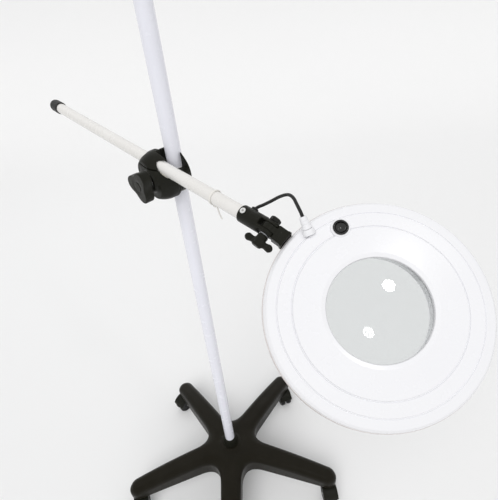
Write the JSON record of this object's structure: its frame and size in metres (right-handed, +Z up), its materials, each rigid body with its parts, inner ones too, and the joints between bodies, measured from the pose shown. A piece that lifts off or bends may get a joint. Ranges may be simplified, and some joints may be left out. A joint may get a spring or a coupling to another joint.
{
  "type": "magnifying lamp",
  "caption": "Round lit magnifying lens on a tubular arm with a tilting hinge, held by a sliding cross clamp on a pole with a wheeled star base.",
  "frame": {"origin": "on the floor, under the middle of the bounding box at rest", "axes": "+Z up along the pole, which is the longest extent; X and Y level, with the lamp head towards +X and -Y"},
  "size_m": [0.6538, 0.6256, 1.28],
  "materials": {
    "base_nylon": "satin moulded nylon",
    "pole_paint": "gloss powder coat",
    "arm_paint": "gloss powder coat",
    "white_plastic": "gloss",
    "black_plastic": "fine moulded texture",
    "steel": "zinc plated",
    "black_steel": "black oxide",
    "liner_nylon": "matte",
    "rubber": "matte",
    "glass": "polished",
    "circuit": "white solder mask",
    "diffuser": "frosted",
    "wheel_nylon": "smooth"
  },
  "bodies": {
    "stand": {"star_base": "base_nylon", "pole_tube": "pole_paint", "pole_foot_insert": "steel", "pole_foot_washer": "steel", "pole_foot_bolt": "steel", "hub_collar": "black_plastic", "pole_top_plug": "black_plastic"},
    "caster_1": {"caster_stem_1": "steel", "caster_hood_1": "black_plastic", "caster_axle_1": "steel"},
    "wheel_left_1": {"caster_wheel_left_1": "wheel_nylon"},
    "wheel_right_1": {"caster_wheel_right_1": "wheel_nylon"},
    "caster_2": {"caster_stem_2": "steel", "caster_hood_2": "black_plastic", "caster_axle_2": "steel"},
    "wheel_left_2": {"caster_wheel_left_2": "wheel_nylon"},
    "wheel_right_2": {"caster_wheel_right_2": "wheel_nylon"},
    "caster_3": {"caster_stem_3": "steel", "caster_hood_3": "black_plastic", "caster_axle_3": "steel"},
    "wheel_left_3": {"caster_wheel_left_3": "wheel_nylon"},
    "wheel_right_3": {"caster_wheel_right_3": "wheel_nylon"},
    "caster_4": {"caster_stem_4": "steel", "caster_hood_4": "black_plastic", "caster_axle_4": "steel"},
    "wheel_left_4": {"caster_wheel_left_4": "wheel_nylon"},
    "wheel_right_4": {"caster_wheel_right_4": "wheel_nylon"},
    "caster_5": {"caster_stem_5": "steel", "caster_hood_5": "black_plastic", "caster_axle_5": "steel"},
    "wheel_left_5": {"caster_wheel_left_5": "wheel_nylon"},
    "wheel_right_5": {"caster_wheel_right_5": "wheel_nylon"},
    "clamp_slider": {"pole_liner": "liner_nylon"},
    "clamp_swivel": {"clamp_pole_half": "black_plastic", "clamp_eye_bolt": "black_steel"},
    "arm_pitch": {"clamp_arm_half": "black_plastic", "clamp_washer": "steel"},
    "clamp_knob": {"clamp_knob": "black_plastic"},
    "arm_turner": {"arm_liner": "liner_nylon"},
    "arm": {"arm_tube": "arm_paint", "arm_end_cap": "rubber", "cable_tie": "liner_nylon", "head_sleeve": "black_plastic", "sleeve_rivet": "steel", "hinge_bolt": "black_steel", "hinge_washer": "steel", "lead_grommet": "rubber", "lead": "rubber"},
    "head": {"head_knuckle": "black_plastic", "head_top_cover": "white_plastic", "head_bottom_cover": "white_plastic", "lens": "glass", "lens_ring": "white_plastic", "led_board": "circuit", "diffuser": "diffuser", "switch_bezel": "black_plastic", "lead_boot": "white_plastic"},
    "wing_knob": {"wing_knob": "black_plastic"},
    "rocker": {"switch_rocker": "black_plastic"}
  },
  "joints": [
    {"name": "caster_swivel_1", "type": "hinge", "parent": "stand", "child": "caster_1", "pos_m": [0.20866, -0.0274, 0.06], "axis": [0, 0, 1], "continuous": true},
    {"name": "wheel_left_roll_1", "type": "hinge", "parent": "caster_1", "child": "wheel_left_1", "pos_m": [0.19817, -0.04638, 0.025], "axis": [-0.9962, -0.0872, 0], "continuous": true},
    {"name": "wheel_right_roll_1", "type": "hinge", "parent": "caster_1", "child": "wheel_right_1", "pos_m": [0.22228, -0.04427, 0.025], "axis": [-0.9962, -0.0872, 0], "continuous": true},
    {"name": "caster_swivel_2", "type": "hinge", "parent": "stand", "child": "caster_2", "pos_m": [0.12117, 0.27771, 0.06], "axis": [0, 0, 1], "continuous": true},
    {"name": "wheel_left_roll_2", "type": "hinge", "parent": "caster_2", "child": "wheel_left_2", "pos_m": [0.11414, 0.25719, 0.025], "axis": [-0.9659, -0.2588, 0], "continuous": true},
    {"name": "wheel_right_roll_2", "type": "hinge", "parent": "caster_2", "child": "wheel_right_2", "pos_m": [0.13751, 0.26346, 0.025], "axis": [-0.9659, -0.2588, 0], "continuous": true},
    {"name": "caster_swivel_3", "type": "hinge", "parent": "stand", "child": "caster_3", "pos_m": [-0.19604, 0.28879, 0.06], "axis": [0, 0, 1], "continuous": true},
    {"name": "wheel_left_roll_3", "type": "hinge", "parent": "caster_3", "child": "wheel_left_3", "pos_m": [-0.21733, 0.28462, 0.025], "axis": [-0.7071, 0.7071, 0], "continuous": true},
    {"name": "wheel_right_roll_3", "type": "hinge", "parent": "caster_3", "child": "wheel_right_3", "pos_m": [-0.20022, 0.2675, 0.025], "axis": [-0.7071, 0.7071, 0], "continuous": true},
    {"name": "caster_swivel_4", "type": "hinge", "parent": "stand", "child": "caster_4", "pos_m": [-0.3046, -0.00947, 0.06], "axis": [0, 0, 1], "continuous": true},
    {"name": "wheel_left_roll_4", "type": "hinge", "parent": "caster_4", "child": "wheel_left_4", "pos_m": [-0.31339, -0.0293, 0.025], "axis": [-0.9848, -0.1736, 0], "continuous": true},
    {"name": "wheel_right_roll_4", "type": "hinge", "parent": "caster_4", "child": "wheel_right_4", "pos_m": [-0.28956, -0.0251, 0.025], "axis": [-0.9848, -0.1736, 0], "continuous": true},
    {"name": "caster_swivel_5", "type": "hinge", "parent": "stand", "child": "caster_5", "pos_m": [-0.05448, -0.20489, 0.06], "axis": [0, 0, 1], "continuous": true},
    {"name": "wheel_left_roll_5", "type": "hinge", "parent": "caster_5", "child": "wheel_left_5", "pos_m": [-0.05596, -0.22653, 0.025], "axis": [-0.866, -0.5, 0], "continuous": true},
    {"name": "wheel_right_roll_5", "type": "hinge", "parent": "caster_5", "child": "wheel_right_5", "pos_m": [-0.03501, -0.21443, 0.025], "axis": [-0.866, -0.5, 0], "continuous": true},
    {"name": "clamp_height", "type": "slide", "parent": "stand", "child": "clamp_slider", "axis": [0, 0, 1], "range_m": [-0.2, 0.28]},
    {"name": "clamp_turn", "type": "hinge", "parent": "clamp_slider", "child": "clamp_swivel", "pos_m": [-0.04506, 0.06495, 0.9543], "axis": [0, 0, 1], "continuous": true},
    {"name": "arm_tilt", "type": "hinge", "parent": "clamp_swivel", "child": "arm_pitch", "pos_m": [-0.04506, 0.06495, 0.9543], "axis": [0.7455, 0.6665, 0], "range_deg": [-40, 35]},
    {"name": "clamp_knob_turn", "type": "hinge", "parent": "arm_pitch", "child": "clamp_knob", "pos_m": [-0.09352, 0.02162, 0.9543], "axis": [-0.7455, -0.6665, 0], "range_deg": [-90, 360]},
    {"name": "arm_roll", "type": "hinge", "parent": "arm_pitch", "child": "arm_turner", "pos_m": [-0.06533, 0.04411, 0.97319], "axis": [0.6628, -0.7413, -0.1063], "range_deg": [-90, 90]},
    {"name": "arm_reach", "type": "slide", "parent": "arm_turner", "child": "arm", "axis": [0.6628, -0.7413, -0.1063], "range_m": [-0.03, 0.25]},
    {"name": "head_tilt", "type": "hinge", "parent": "arm", "child": "head", "pos_m": [0.08392, -0.12282, 0.94926], "axis": [0.6858, 0.5439, 0.4836], "range_deg": [-70, 38], "deforming": ["lead"]},
    {"name": "wing_knob_turn", "type": "hinge", "parent": "arm", "child": "wing_knob", "pos_m": [0.07157, -0.13261, 0.94056], "axis": [-0.6858, -0.5439, -0.4836], "range_deg": [-90, 360]},
    {"name": "switch_rock", "type": "hinge", "parent": "head", "child": "rocker", "pos_m": [0.16588, -0.14403, 0.95531], "axis": [-0.959, -0.1919, -0.2084], "range_deg": [0, 24]}
  ]
}
